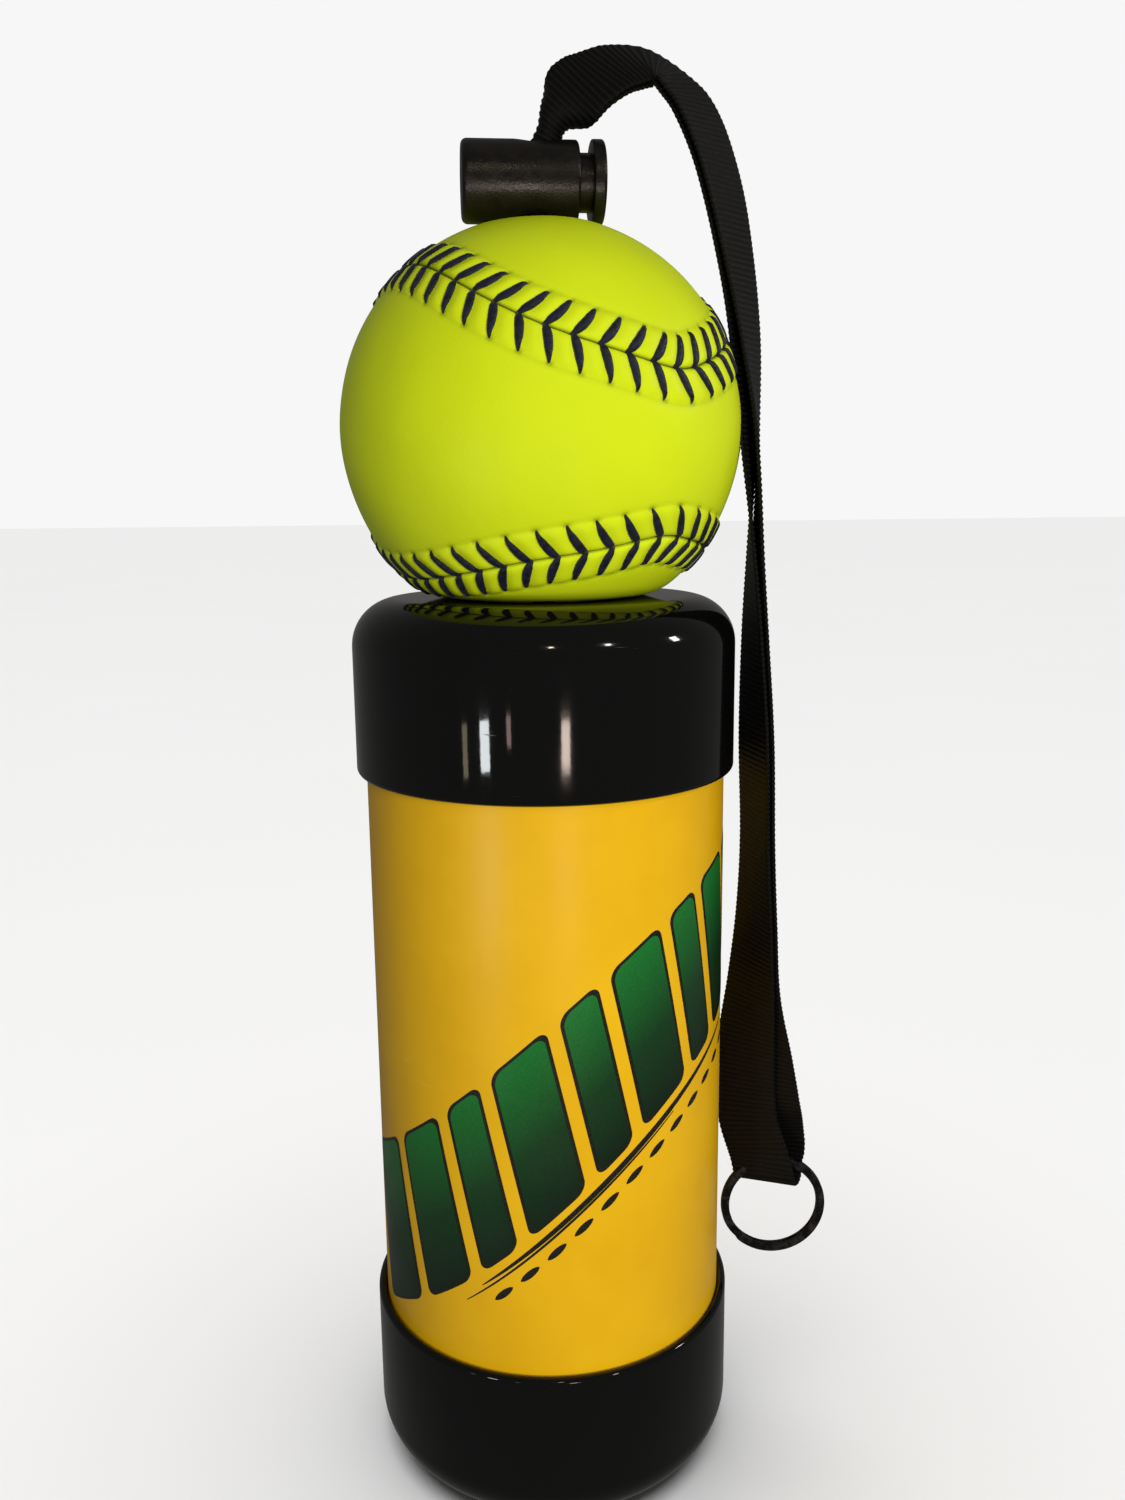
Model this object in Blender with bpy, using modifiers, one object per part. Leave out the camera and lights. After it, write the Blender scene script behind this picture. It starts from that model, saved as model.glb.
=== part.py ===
"""Tethered softball pitching trainer: a capped canister with a drilled ball on its strap.

Metres, +Z up. The origin is the centre of the flat base of the bottom cap. The strap is anchored
under the top cap, runs up through the ball and a spring cord lock, and falls beside them as a
doubled loop with a split ring in its fold.
"""

import math

import bmesh
import bpy
from mathutils import Euler, Matrix, Vector

# Driving dimensions
GAP = 0.0003  # between pieces that touch

TUBE_RADIUS = 0.0417
TUBE_WALL = 0.0028
CAP_RADIUS = 0.0439
CAP_HEIGHT = 0.0396
CAP_PLATE = 0.0030
CAP_FILLET = 0.0107
CAP_LIP = 0.0012
CAP_SKIRT = 0.0019
CANISTER_HEIGHT = 0.2103

BALL_RADIUS = 0.0445
BALL_CENTRE = Vector((0, 0, 0.2471))
COVER_THICKNESS = 0.0018
SEAM_SHAPE = 0.384
SEAM_TURN = Euler((math.radians(99.1), math.radians(181.3), math.radians(220.3)), "XYZ")
SEAM_GROOVE = 0.00135
SEAM_THREAD = 0.00085
SLEEVE_RADIUS = 0.0052
SLEEVE_BORE = 0.0044

STRAP_WIDTH = 0.016
STRAP_TUBE = 0.0022
STRAP_BUNCH = 0.0025  # radius of the strap where it is squeezed into the lock
ROUTE_SPACING = 0.006
STRAP_LEAN = 0.0012  # how far the strap stands off the ball's axis inside the lock

LOCK_AXIS_Z = 0.2990
LOCK_TURN = math.radians(5)
LOCK_BARREL_RADIUS = 0.0085
LOCK_BARREL_LEFT = -0.0166
LOCK_BARREL_RIGHT = 0.0085
LOCK_BARREL_EDGE = 0.0016
LOCK_CAVITY_RADIUS = 0.0058
LOCK_BLIND_WALL = 0.0022
LOCK_STEM_RADIUS = 0.00545
LOCK_STEM_MARGIN = 0.0020  # of stem beyond its hole
LOCK_FLANGE_RADIUS = 0.0087
LOCK_FLANGE = 0.0027
LOCK_FLANGE_EDGE = 0.0007
LOCK_TRAVEL = 0.0026
LOCK_END_GAP = 0.0029
LOCK_HOLE_X = -0.0005
LOCK_HOLE_RADIUS = 0.00465
LOCK_HOLE_MOUTH = 0.0009
LOCK_HOLE_MOUTH_DEPTH = 0.0016
PLUNGER_HOLE_RADIUS = 0.0043
SPRING_WIRE = 0.00045
SPRING_RADIUS = 0.0042
SPRING_TURNS = 4

ANCHOR_BAR_RADIUS = 0.0040
ANCHOR_BAR_LENGTH = 0.028
ANCHOR_BAR_EDGE = 0.0006
ANCHOR_LOOP_WALL = 0.0016
WASHER_RADIUS = 0.0150
WASHER_THICKNESS = 0.0016
BUSH_RADIUS = 0.0062
BUSH_BORE = 0.0044
BUSH_FLANGE_RADIUS = 0.0090
BUSH_FLANGE = 0.0014

RING_CENTRE = Vector((0.0562, 0, 0.0558))
RING_RADIUS = 0.0121
RING_WIRE = 0.0011
EYE_BORE = 0.0033
EYE_RADIUS = 0.0045
EYE_DROP = 0.0017  # of the eye's axis below the top of the ring's wire

# Worked out from the above
CAP_TOP = CANISTER_HEIGHT
TOP_CAP_EDGE = CANISTER_HEIGHT - CAP_HEIGHT
TUBE_END = CAP_FILLET + GAP
BALL_BOTTOM = CAP_TOP + GAP
BALL_TOP = LOCK_AXIS_Z - LOCK_FLANGE_RADIUS - GAP
LOCK_TOP = LOCK_AXIS_Z + LOCK_BARREL_RADIUS
WASHER_TOP = CAP_TOP - CAP_PLATE - GAP - BUSH_FLANGE - GAP
ANCHOR_BAR_Z = WASHER_TOP - WASHER_THICKNESS - GAP - ANCHOR_BAR_RADIUS - GAP - ANCHOR_LOOP_WALL
EYE_CENTRE = RING_CENTRE + Vector((0, 0, RING_RADIUS - EYE_DROP))

# The middle of the doubled strap, from the top of the lock to the eye that holds the ring
STRAP_ROUTE = [
    (STRAP_LEAN, 0.0000, LOCK_TOP - 0.0045),
    (STRAP_LEAN, 0.0000, LOCK_TOP - 0.0020),
    (0.0026, 0.0000, 0.3088),
    (0.0054, -0.0005, 0.3118),
    (0.0086, -0.0010, 0.3152),
    (0.0122, -0.0015, 0.3185),
    (0.0170, -0.0020, 0.3215),
    (0.0220, -0.0025, 0.3220),
    (0.0270, -0.0030, 0.3192),
    (0.0317, -0.0033, 0.3145),
    (0.0345, -0.0036, 0.3095),
    (0.0376, -0.0040, 0.3023),
    (0.0401, -0.0040, 0.2943),
    (0.0422, -0.0040, 0.2850),
    (0.0441, -0.0040, 0.2739),
    (0.0455, -0.0040, 0.2630),
    (0.0466, -0.0040, 0.2503),
    (0.0474, -0.0040, 0.2356),
    (0.0479, -0.0040, 0.2179),
    (0.0484, -0.0035, 0.1997),
    (0.0492, -0.0030, 0.1763),
    (0.0500, -0.0025, 0.1520),
    (0.0504, -0.0020, 0.1330),
    (0.0506, -0.0015, 0.1150),
    (0.0512, -0.0010, 0.0970),
    (0.0528, -0.0005, 0.0820),
    (0.0556, 0.0000, 0.0717),
]


def clear_scene():
    for old in list(bpy.data.objects):
        bpy.data.objects.remove(old, do_unlink=True)


def collection(name):
    made = bpy.data.collections.new(name)
    bpy.context.scene.collection.children.link(made)
    return made


def material(name, colour, roughness, metallic=0.0):
    made = bpy.data.materials.new(name)
    made.use_nodes = True
    shader = made.node_tree.nodes["Principled BSDF"]
    shader.inputs["Base Color"].default_value = (*colour, 1)
    shader.inputs["Roughness"].default_value = roughness
    shader.inputs["Metallic"].default_value = metallic
    made.diffuse_color = (*colour, 1)
    return made


def add_object(name, data, group, look=None):
    made = bpy.data.objects.new(name, data)
    group.objects.link(made)
    if look:
        data.materials.append(look)
    return made


def smooth(piece, angle=35):
    piece.data.shade_smooth()
    piece.data.set_sharp_from_angle(angle=math.radians(angle))


def arc(centre_r, centre_z, radius, start, end, steps):
    """Points (r, z) of a quarter round, its angles in degrees from the +r direction."""
    angles = [math.radians(start + (end - start) * k / steps) for k in range(steps + 1)]
    return [(centre_r + radius * math.cos(a), centre_z + radius * math.sin(a)) for a in angles]


def mesh_of(piece):
    """A new mesh with the piece's modifiers or bevel applied."""
    bpy.context.view_layer.update()
    seen = piece.evaluated_get(bpy.context.evaluated_depsgraph_get())
    return bpy.data.meshes.new_from_object(seen)


def turned(name, profile, look, group, steps=40):
    """A closed profile of (radius, height) points turned about Z. It runs down its outer side."""
    form = bmesh.new()
    points = [form.verts.new((r, 0, z)) for r, z in profile]
    for a, b in zip(points, points[1:] + points[:1]):
        form.edges.new((a, b))
    data = bpy.data.meshes.new(name)
    form.to_mesh(data)
    form.free()
    piece = add_object(name, data, group, look)
    screw = piece.modifiers.new("turn", "SCREW")
    screw.steps = steps
    screw.render_steps = steps
    screw.use_merge_vertices = True
    screw.merge_threshold = 0.00001
    return piece


def solid_rod(name, radius, length, look, group, bevel=0.0, sides=32):
    """A round rod along Z, centred on its own origin, with bevelled end edges."""
    form = bmesh.new()
    bmesh.ops.create_cone(
        form, cap_ends=True, segments=sides, radius1=radius, radius2=radius, depth=length
    )
    data = bpy.data.meshes.new(name)
    form.to_mesh(data)
    form.free()
    piece = add_object(name, data, group, look)
    if bevel:
        edge = piece.modifiers.new("edge", "BEVEL")
        edge.width = bevel
        edge.segments = 2
        edge.limit_method = "ANGLE"
        edge.angle_limit = math.radians(60)
    return piece


def ball(name, radius, group, segments, rings, look=None):
    form = bmesh.new()
    bmesh.ops.create_uvsphere(form, u_segments=segments, v_segments=rings, radius=radius)
    data = bpy.data.meshes.new(name)
    form.to_mesh(data)
    form.free()
    piece = add_object(name, data, group, look)
    piece.location = BALL_CENTRE
    return piece


def wire(name, points, radius, look, group, sides=2, closed=False):
    """A round wire through the points, as a curve with filled ends."""
    data = bpy.data.curves.new(name, "CURVE")
    data.dimensions = "3D"
    data.bevel_depth = radius
    data.bevel_resolution = sides
    data.use_fill_caps = not closed
    spline = data.splines.new("POLY")
    spline.points.add(len(points) - 1)
    for point, place in zip(spline.points, points):
        point.co = (*place, 1)
    spline.use_cyclic_u = closed
    return add_object(name, data, group, look)


def hidden(cutter):
    cutter.hide_render = True
    cutter.display_type = "WIRE"
    return cutter


def cut(piece, cutter, operation="DIFFERENCE"):
    modifier = piece.modifiers.new(operation.lower(), "BOOLEAN")
    modifier.operation = operation
    modifier.solver = "EXACT"
    modifier.object = cutter
    return modifier


def smooth_route(points, spacing):
    """Points about a spacing apart on a smooth curve through the given ones."""
    places = [Vector(p) for p in points]
    ends = [places[0] * 2 - places[1]] + places + [places[-1] * 2 - places[-2]]
    route = []
    for a, b, c, d in zip(ends, ends[1:], ends[2:], ends[3:]):
        count = max(1, round((c - b).length / spacing))
        for k in range(count):
            t = k / count
            route.append(
                (2 * b + (c - a) * t + (2 * a - 5 * b + 4 * c - d) * t**2
                 + (3 * b - a - 3 * c + d) * t**3) / 2
            )
    route.append(places[-1])
    return route


def seam_direction(t):
    """The unit direction of the ball's one seam, t running from 0 to four pi."""
    polar = math.pi / 2 - (math.pi / 2 - SEAM_SHAPE) * math.cos(t)
    around = t / 2 + SEAM_SHAPE * math.sin(2 * t)
    flat = Vector((math.cos(around), math.sin(around), 0)) * math.sin(polar)
    direction = flat + Vector((0, 0, math.cos(polar)))
    direction.rotate(SEAM_TURN)
    return direction


def build_canister(parts, looks):
    inner = CAP_RADIUS - CAP_SKIRT
    tube_inside = TUBE_RADIUS - TUBE_WALL
    tube = turned(
        "canister_tube",
        [
            (TUBE_RADIUS, CANISTER_HEIGHT - TUBE_END),
            (TUBE_RADIUS, TUBE_END),
            (tube_inside, TUBE_END),
            (tube_inside, CANISTER_HEIGHT - TUBE_END),
        ],
        looks["tube"],
        parts,
        steps=48,
    )
    smooth(tube)

    flat = CAP_RADIUS - CAP_FILLET
    seat = CAP_HEIGHT - CAP_FILLET
    inner_fillet = CAP_FILLET - CAP_PLATE
    outside = arc(flat, seat, CAP_FILLET, 90, 0, 6) + [(CAP_RADIUS, CAP_LIP)]
    rim = arc(CAP_RADIUS - CAP_LIP, CAP_LIP, CAP_LIP, -30, -90, 2) + [(inner, 0)]
    inside = [(inner, seat), (flat + inner_fillet, seat)]
    inside += arc(flat, seat, inner_fillet, 30, 90, 2)
    hole = BUSH_RADIUS + GAP
    plate_under = CAP_HEIGHT - CAP_PLATE
    with_hole = [(hole, CAP_HEIGHT)] + outside + rim + inside + [(hole, plate_under)]
    blind = [(0, CAP_HEIGHT)] + outside + rim + inside + [(0, plate_under)]

    top_cap = turned("top_cap", with_hole, looks["cap"], parts)
    top_cap.location.z = TOP_CAP_EDGE
    smooth(top_cap)
    bottom_cap = turned("bottom_cap", blind, looks["cap"], parts)
    bottom_cap.location.z = CAP_HEIGHT
    bottom_cap.rotation_euler.x = math.pi
    smooth(bottom_cap)


def build_anchor(parts, looks):
    under = CAP_TOP - CAP_PLATE - GAP
    turned(
        "cap_bush",
        [
            (BUSH_RADIUS, CAP_TOP - GAP),
            (BUSH_RADIUS, under),
            (BUSH_FLANGE_RADIUS, under),
            (BUSH_FLANGE_RADIUS, under - BUSH_FLANGE),
            (BUSH_BORE, under - BUSH_FLANGE),
            (BUSH_BORE, CAP_TOP - GAP),
        ],
        looks["rubber"],
        parts,
        steps=24,
    )
    turned(
        "anchor_washer",
        [
            (WASHER_RADIUS, WASHER_TOP),
            (WASHER_RADIUS, WASHER_TOP - WASHER_THICKNESS),
            (BUSH_BORE, WASHER_TOP - WASHER_THICKNESS),
            (BUSH_BORE, WASHER_TOP),
        ],
        looks["steel"],
        parts,
        steps=32,
    )
    bar = solid_rod(
        "anchor_bar",
        ANCHOR_BAR_RADIUS,
        ANCHOR_BAR_LENGTH,
        looks["steel"],
        parts,
        ANCHOR_BAR_EDGE,
        sides=24,
    )
    bar.location.z = ANCHOR_BAR_Z
    bar.rotation_euler.y = math.pi / 2
    bore = ANCHOR_BAR_RADIUS + GAP
    half = STRAP_WIDTH / 2
    loop = turned(
        "anchor_loop",
        [
            (bore + ANCHOR_LOOP_WALL, half),
            (bore + ANCHOR_LOOP_WALL, -half),
            (bore, -half),
            (bore, half),
        ],
        looks["webbing"],
        parts,
        steps=24,
    )
    loop.location.z = ANCHOR_BAR_Z
    loop.rotation_euler.y = math.pi / 2
    run = [
        (0, 0, ANCHOR_BAR_Z + bore + ANCHOR_LOOP_WALL + GAP),
        (0, 0, CAP_TOP),
        (STRAP_LEAN, 0, BALL_TOP),
        (STRAP_LEAN, 0, STRAP_ROUTE[0][2] - GAP),
    ]
    wire("inner_strap", run, STRAP_BUNCH, looks["webbing"], parts)


def flattened(name, shrink, segments, rings, cutters):
    """The ball's form, shrunk by a thickness and pressed flat at its top and bottom."""
    form = ball(name, BALL_RADIUS - shrink, cutters, segments, rings)
    low = BALL_BOTTOM + shrink
    high = BALL_TOP - shrink
    slab = solid_rod(name + "_slab", BALL_RADIUS * 1.2, high - low, None, cutters, sides=16)
    slab.location.z = (low + high) / 2
    hidden(slab)
    cut(form, slab, "INTERSECT")
    return hidden(form)


def seam_loop(name, radius, look, group, points=88):
    """A closed wire along the seam, in the middle of the cover's thickness."""
    middle = COVER_THICKNESS / 2
    places = []
    for k in range(points):
        place = BALL_CENTRE + seam_direction(4 * math.pi * k / points) * (BALL_RADIUS - middle)
        place.z = min(max(place.z, BALL_BOTTOM + middle), BALL_TOP - middle)
        places.append(place)
    return wire(name, places, radius, look, group, sides=1, closed=True)


def as_mesh(piece, group):
    """The piece as a mesh object, welded, in place of a curve or of modifiers."""
    data = mesh_of(piece)
    form = bmesh.new()
    form.from_mesh(data)
    bmesh.ops.remove_doubles(form, verts=form.verts, dist=0.000001)
    form.to_mesh(data)
    form.free()
    made = bpy.data.objects.new(piece.name + "_mesh", data)
    group.objects.link(made)
    made.matrix_world = piece.matrix_world
    bpy.data.objects.remove(piece, do_unlink=True)
    return made


def loose_bodies(data):
    """The vertex index sets of a mesh's separate bodies, from -Y to +Y by their middles."""
    form = bmesh.new()
    form.from_mesh(data)
    form.verts.ensure_lookup_table()
    left = set(range(len(form.verts)))
    bodies = []
    while left:
        found = {left.pop()}
        waiting = list(found)
        while waiting:
            point = form.verts[waiting.pop()]
            fresh = {edge.other_vert(point).index for edge in point.link_edges} - found
            found |= fresh
            waiting.extend(fresh)
        left -= found
        bodies.append(found)
    depths = [sum(form.verts[i].co.y for i in body) / len(body) for body in bodies]
    form.free()
    return [body for _, body in sorted(zip(depths, bodies), key=lambda pair: pair[0])]


def build_ball(parts, cutters, looks):
    bore = SLEEVE_RADIUS + GAP
    drill = hidden(solid_rod("ball_drill", bore, BALL_RADIUS * 3, None, cutters, sides=24))
    drill.location = BALL_CENTRE

    core_form = flattened("core_form", COVER_THICKNESS + GAP, 32, 16, cutters)
    cut(core_form, drill)
    core = add_object("ball_core", mesh_of(core_form), parts, looks["foam"])
    core.location = BALL_CENTRE
    smooth(core)

    skin_form = flattened("skin_form", 0.0, 36, 18, cutters)
    cut(skin_form, flattened("hollow_form", COVER_THICKNESS, 36, 18, cutters))
    cut(skin_form, drill)
    groove = hidden(as_mesh(seam_loop("groove", SEAM_GROOVE, None, cutters), cutters))
    cut(skin_form, groove)
    skin = mesh_of(skin_form)
    bodies = loose_bodies(skin)
    for name, body in zip(("ball_cover_front", "ball_cover_back"), bodies):
        form = bmesh.new()
        form.from_mesh(skin)
        spare = [v for v in form.verts if v.index not in body]
        bmesh.ops.delete(form, geom=spare, context="VERTS")
        data = bpy.data.meshes.new(name)
        form.to_mesh(data)
        form.free()
        panel = add_object(name, data, parts, looks["leather"])
        panel.location = BALL_CENTRE
        smooth(panel)
    seam_loop("ball_seam_thread", SEAM_THREAD, looks["thread"], parts)

    sleeve = turned(
        "ball_sleeve",
        [
            (SLEEVE_RADIUS, BALL_TOP - GAP),
            (SLEEVE_RADIUS, BALL_BOTTOM + GAP),
            (SLEEVE_BORE, BALL_BOTTOM + GAP),
            (SLEEVE_BORE, BALL_TOP - GAP),
        ],
        looks["sleeve"],
        parts,
        steps=24,
    )
    smooth(sleeve)


def along_lock(x, y=0.0, z=0.0):
    """A place given along the lock's barrel, as a place in the part's frame."""
    pivot = Vector((STRAP_LEAN, 0, LOCK_AXIS_Z))
    return pivot + Matrix.Rotation(LOCK_TURN, 3, "Z") @ Vector((x - STRAP_LEAN, y, z))


def lay_on_lock(piece, x):
    piece.location = along_lock(x)
    piece.rotation_euler = (0, math.pi / 2, LOCK_TURN)


def cross_hole(name, x, radius, mouth, cutters):
    """A cutter for the hole across the lock, with a wider mouth at each end if asked."""
    reach = LOCK_BARREL_RADIUS * 1.25
    rim = LOCK_BARREL_RADIUS - GAP
    profile = [(0, reach), (radius + mouth, reach), (radius + mouth, rim)]
    profile += [(radius, rim - LOCK_HOLE_MOUTH_DEPTH)]
    profile += [(r, -z) for r, z in reversed(profile)]
    cutter = turned(name, profile, None, cutters, steps=24)
    cutter.location = along_lock(x)
    return hidden(cutter)


def build_lock(parts, cutters, looks):
    length = LOCK_BARREL_RIGHT - LOCK_BARREL_LEFT
    rounding = LOCK_BARREL_EDGE
    edge = LOCK_BARREL_RADIUS - rounding
    barrel = turned(
        "lock_barrel",
        [(LOCK_CAVITY_RADIUS, length)]
        + arc(edge, length - rounding, rounding, 90, 0, 3)
        + arc(edge, rounding, rounding, 0, -90, 3)
        + [(0, 0), (0, LOCK_BLIND_WALL), (LOCK_CAVITY_RADIUS, LOCK_BLIND_WALL)],
        looks["lock"],
        parts,
        steps=32,
    )
    lay_on_lock(barrel, LOCK_BARREL_LEFT)
    cut(barrel, cross_hole("barrel_hole", LOCK_HOLE_X, LOCK_HOLE_RADIUS, LOCK_HOLE_MOUTH, cutters))

    hole_x = LOCK_HOLE_X + LOCK_TRAVEL
    stem_end = hole_x - PLUNGER_HOLE_RADIUS - LOCK_STEM_MARGIN
    flange_x = LOCK_BARREL_RIGHT + LOCK_END_GAP
    stem_length = flange_x - stem_end
    rim = LOCK_FLANGE_EDGE
    plunger = turned(
        "lock_plunger",
        [(0, stem_length + LOCK_FLANGE)]
        + arc(LOCK_FLANGE_RADIUS - rim, stem_length + LOCK_FLANGE - rim, rim, 90, 0, 2)
        + [
            (LOCK_FLANGE_RADIUS, stem_length),
            (LOCK_STEM_RADIUS, stem_length),
            (LOCK_STEM_RADIUS, 0),
            (0, 0),
        ],
        looks["lock"],
        parts,
        steps=32,
    )
    lay_on_lock(plunger, stem_end)
    cut(plunger, cross_hole("plunger_hole", hole_x, PLUNGER_HOLE_RADIUS, 0.0, cutters))

    first = LOCK_BARREL_LEFT + LOCK_BLIND_WALL + GAP + SPRING_WIRE
    last = stem_end - GAP - SPRING_WIRE
    per_turn = 12
    count = SPRING_TURNS * per_turn
    coil = []
    for k in range(count + 1):
        a = 2 * math.pi * k / per_turn
        x = first + (last - first) * k / count
        coil.append(along_lock(x, SPRING_RADIUS * math.cos(a), SPRING_RADIUS * math.sin(a)))
    wire("lock_spring", coil, SPRING_WIRE, looks["steel"], parts, sides=1)


def build_strap(parts, looks):
    route = smooth_route(STRAP_ROUTE, ROUTE_SPACING)
    wire("strap", route, STRAP_TUBE, looks["webbing"], parts)
    eye = turned(
        "strap_fold",
        [
            (EYE_RADIUS, STRAP_WIDTH / 2),
            (EYE_RADIUS, -STRAP_WIDTH / 2),
            (EYE_BORE, -STRAP_WIDTH / 2),
            (EYE_BORE, STRAP_WIDTH / 2),
        ],
        looks["webbing"],
        parts,
        steps=24,
    )
    eye.location = EYE_CENTRE
    eye.rotation_euler.y = math.pi / 2

    ring_profile = arc(RING_RADIUS, 0, RING_WIRE, 90, -225, 7)
    ring = turned("split_ring", ring_profile, looks["ring"], parts, steps=40)
    ring.location = RING_CENTRE
    ring.rotation_euler.x = math.pi / 2
    smooth(ring, 80)


def main():
    clear_scene()
    parts = collection("pitching_trainer")
    cutters = collection("cutters")
    looks = {
        "tube": material("yellow_tube", (0.74, 0.43, 0.02), 0.35),
        "cap": material("black_cap", (0.012, 0.012, 0.013), 0.12),
        "rubber": material("bush_rubber", (0.03, 0.03, 0.03), 0.7),
        "steel": material("zinc_steel", (0.55, 0.55, 0.56), 0.35, 1.0),
        "webbing": material("black_webbing", (0.018, 0.018, 0.019), 0.8),
        "foam": material("core_foam", (0.62, 0.6, 0.5), 0.9),
        "leather": material("optic_yellow_leather", (0.56, 0.78, 0.02), 0.45),
        "thread": material("navy_thread", (0.015, 0.02, 0.06), 0.7),
        "sleeve": material("sleeve_nylon", (0.7, 0.7, 0.66), 0.5),
        "lock": material("lock_plastic", (0.03, 0.026, 0.023), 0.5),
        "ring": material("black_ring", (0.02, 0.02, 0.02), 0.3, 1.0),
    }
    build_canister(parts, looks)
    build_anchor(parts, looks)
    build_ball(parts, cutters, looks)
    build_lock(parts, cutters, looks)
    build_strap(parts, looks)


main()
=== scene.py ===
"""Close visual model of the tethered pitching trainer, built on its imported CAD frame.

Metres, +Z up, in the CAD's own frame: the origin is the centre of the canister's flat base.
"""

import math
import random
from typing import NamedTuple

import bpy
import numpy as np
from mathutils import Euler, Matrix, Vector, kdtree, noise
from mathutils.geometry import delaunay_2d_cdt


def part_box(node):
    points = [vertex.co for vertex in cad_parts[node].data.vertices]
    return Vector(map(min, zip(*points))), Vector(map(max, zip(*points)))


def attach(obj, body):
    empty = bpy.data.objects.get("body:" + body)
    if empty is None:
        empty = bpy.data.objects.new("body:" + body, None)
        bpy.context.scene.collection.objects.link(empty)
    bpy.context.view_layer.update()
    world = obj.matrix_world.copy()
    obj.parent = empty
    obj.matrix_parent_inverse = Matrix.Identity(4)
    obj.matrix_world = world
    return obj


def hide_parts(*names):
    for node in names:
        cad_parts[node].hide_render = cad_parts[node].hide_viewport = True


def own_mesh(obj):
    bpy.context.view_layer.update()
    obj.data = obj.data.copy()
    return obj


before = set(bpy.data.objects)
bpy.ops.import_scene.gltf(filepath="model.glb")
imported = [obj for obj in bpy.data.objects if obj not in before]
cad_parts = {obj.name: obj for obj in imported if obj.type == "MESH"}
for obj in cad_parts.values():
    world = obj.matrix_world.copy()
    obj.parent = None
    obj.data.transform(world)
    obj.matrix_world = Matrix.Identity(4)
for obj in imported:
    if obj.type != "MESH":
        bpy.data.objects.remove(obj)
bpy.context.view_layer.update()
MM = 0.001

# Taken from the frame
CAP_RADIUS, _, CAP_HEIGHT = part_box("bottom_cap")[1]
CANISTER_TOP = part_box("top_cap")[1].z
TUBE_RADIUS, _, TUBE_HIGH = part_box("canister_tube")[1]
TUBE_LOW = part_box("canister_tube")[0].z
RING_LOW, RING_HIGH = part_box("split_ring")
FOLD_LOW, FOLD_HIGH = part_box("strap_fold")
FOLD_CENTRE = (FOLD_LOW + FOLD_HIGH) / 2

# Sizes that the frame's boxes don't give
TUBE_WALL = 0.0028
CAP_PLATE = 0.0030
CAP_FILLET = 0.0107
CAP_LIP = 0.0012
CAP_SKIRT = 0.0019
CAP_HOLE = 0.0065

BALL_RADIUS = 0.0445
BALL_CENTRE = Vector((0, 0, 0.2471))
BALL_BORE = 0.0056
BALL_REST = CANISTER_TOP + 0.0002
BALL_TOP = 0.2901
BALL_PRESS_ROUND = 0.0030
BALL_TOP_ROUND = 0.0006

# The ball's one seam, its stitches and the rows of leather beside it
SEAM_SHAPE = 0.384
SEAM_TURN = Euler((math.radians(99.1), math.radians(181.3), math.radians(220.3)), "XYZ")
STITCH_REACH = 6.7 * MM
STITCH_LEAN = 2.9 * MM
STITCH_PITCH = 5.65 * MM
PER_STITCH = 10
STRIP_ROWS = np.array(
    [0, 0.03, 0.2, 0.42, 0.7, 1.1, 1.6, 2.2, 2.9, 3.6, 4.3, 5.0, 5.6, 6.1, 6.5, 6.9, 7.3, 7.8, 8.5]
) * MM

LOCK_PIVOT = Vector((0.0012, 0, 0.2990))
LOCK_TURN = math.radians(5)
LOCK_RADIUS = 0.0085
LOCK_LEFT = -0.0166
LOCK_RIGHT = 0.0085
LOCK_EDGE = 0.0013
LOCK_WALL = 0.0022
LOCK_CAVITY = 0.0063
LOCK_HOLE = 0.00465
LOCK_HOLE_X = -0.0005
LOCK_TRAVEL = 0.0026
LOCK_END_GAP = 0.0029
STEM_RADIUS = 0.0060
STEM_HOLE = 0.0045
STEM_WALL = 0.0018
FLANGE_RADIUS = 0.0087
FLANGE = 0.0027

STRAP_WIDTH = 0.016
STRAP_THICKNESS = 0.0012
RIB_PITCH = 0.00122
RIB_DEPTH = 0.00015

# Each layer of the doubled strap is this far from the middle, and further apart at the fold
LAYER_GAP = 0.00068
OPEN_GAP = 0.00365
OPEN_LENGTH = 0.021

# The webbing is rolled up inside the lock, drawn in by ROLL_TUCK, and flat from ROLL_END on
ROLL_RADIUS = 0.0017
ROLL_TUCK = 0.0030
ROLL_START = 0.0045
ROLL_END = 0.0165
FLAT_BEND = 0.5

# Beside the ball the layers are a little looser, and turned apart
LOOSE_GAP = 0.0003
LOOSE_TURN = math.radians(5)
LOOSE_LENGTH = 0.022

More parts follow.
